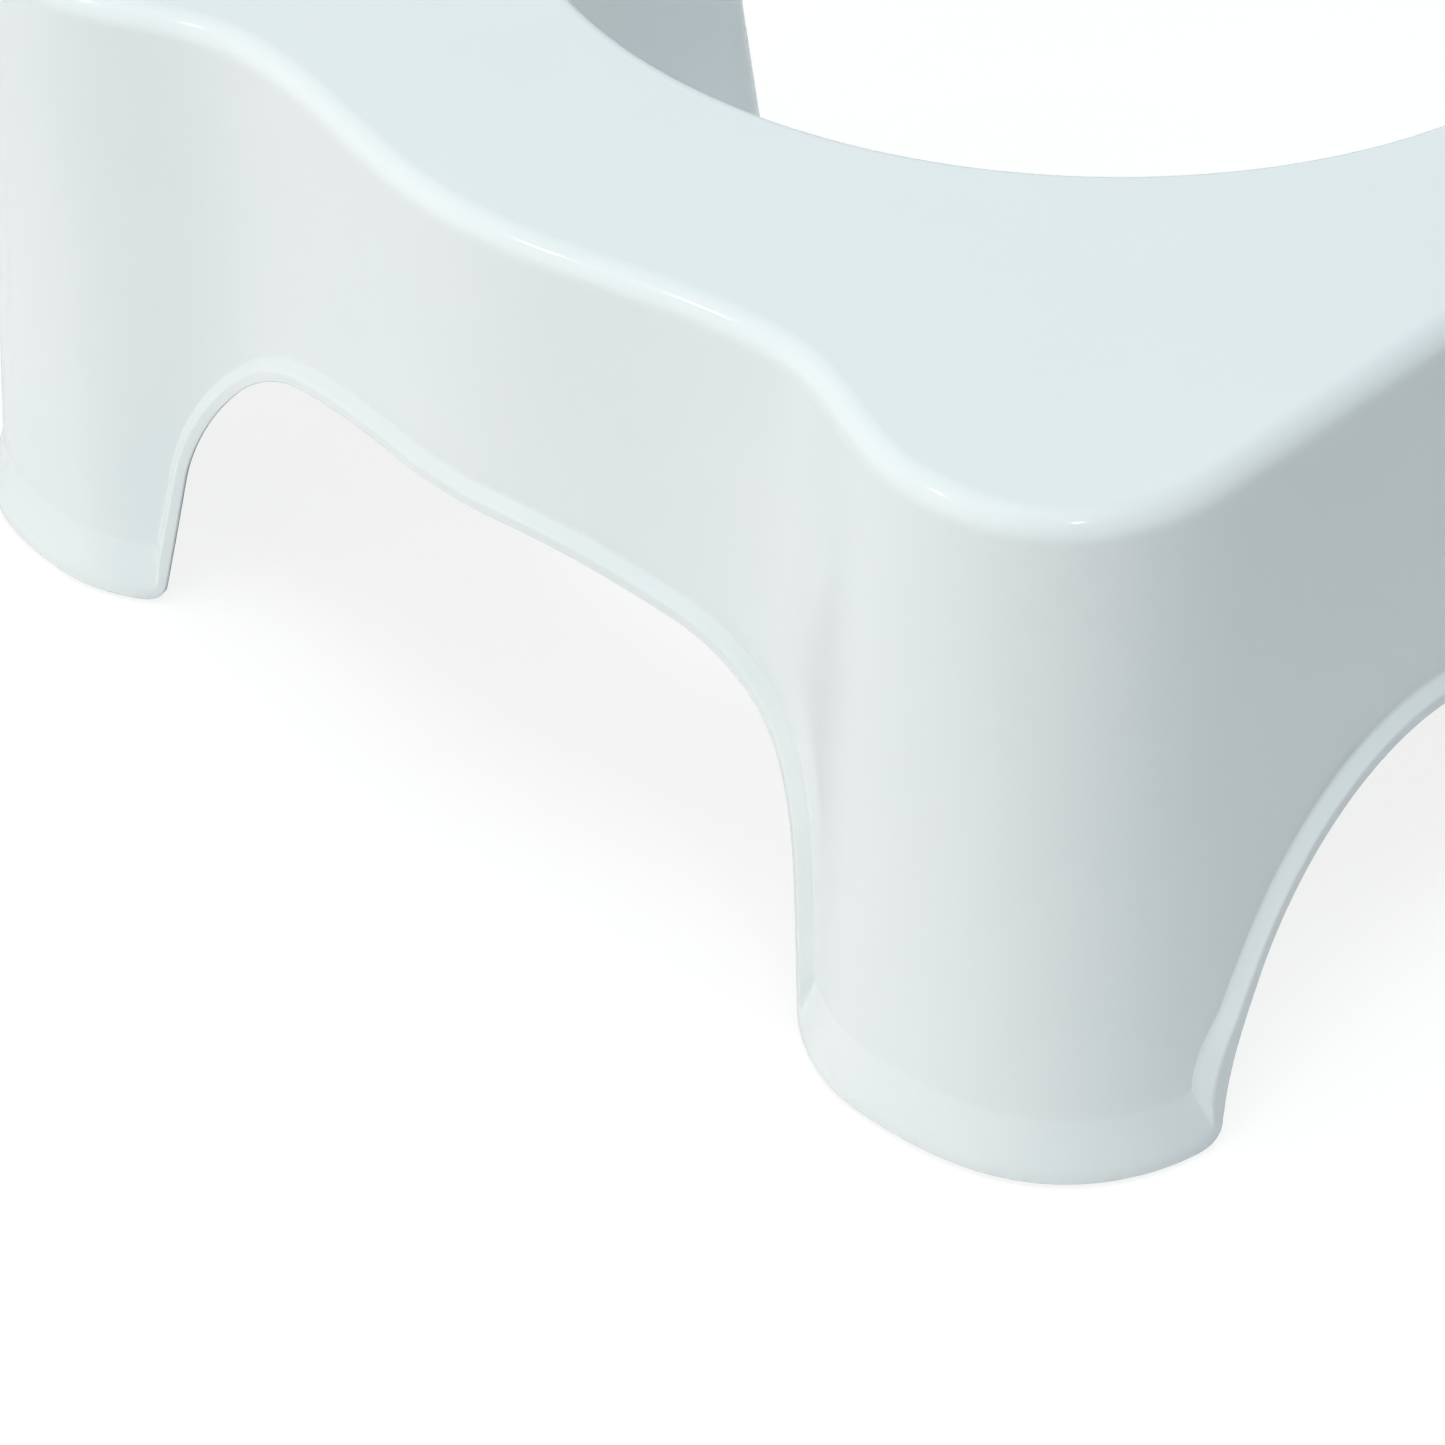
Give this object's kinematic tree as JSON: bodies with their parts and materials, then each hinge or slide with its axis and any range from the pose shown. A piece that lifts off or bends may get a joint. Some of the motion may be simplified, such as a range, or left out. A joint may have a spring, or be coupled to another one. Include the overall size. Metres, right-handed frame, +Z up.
{
  "type": "toilet footstool",
  "caption": "White plastic squatting footstool with a U-shaped toilet cut-out, arched sides and rubber foot pads.",
  "frame": {"origin": "on the floor, at the middle of the footprint", "axes": "+X to the right of someone who sits with their feet on it, +Y to the toilet's side with the cut-out, -Y to the user's side, +Z up"},
  "size_m": [0.406, 0.2592, 0.17],
  "materials": {
    "shell": "glossy moulded white plastic",
    "pads": "matt grey rubber"
  },
  "bodies": {
    "root": {"stool_body": "shell", "foot_pad_front_left": "pads", "foot_pad_front_right": "pads", "foot_pad_rear_left": "pads", "foot_pad_rear_right": "pads"}
  },
  "joints": []
}
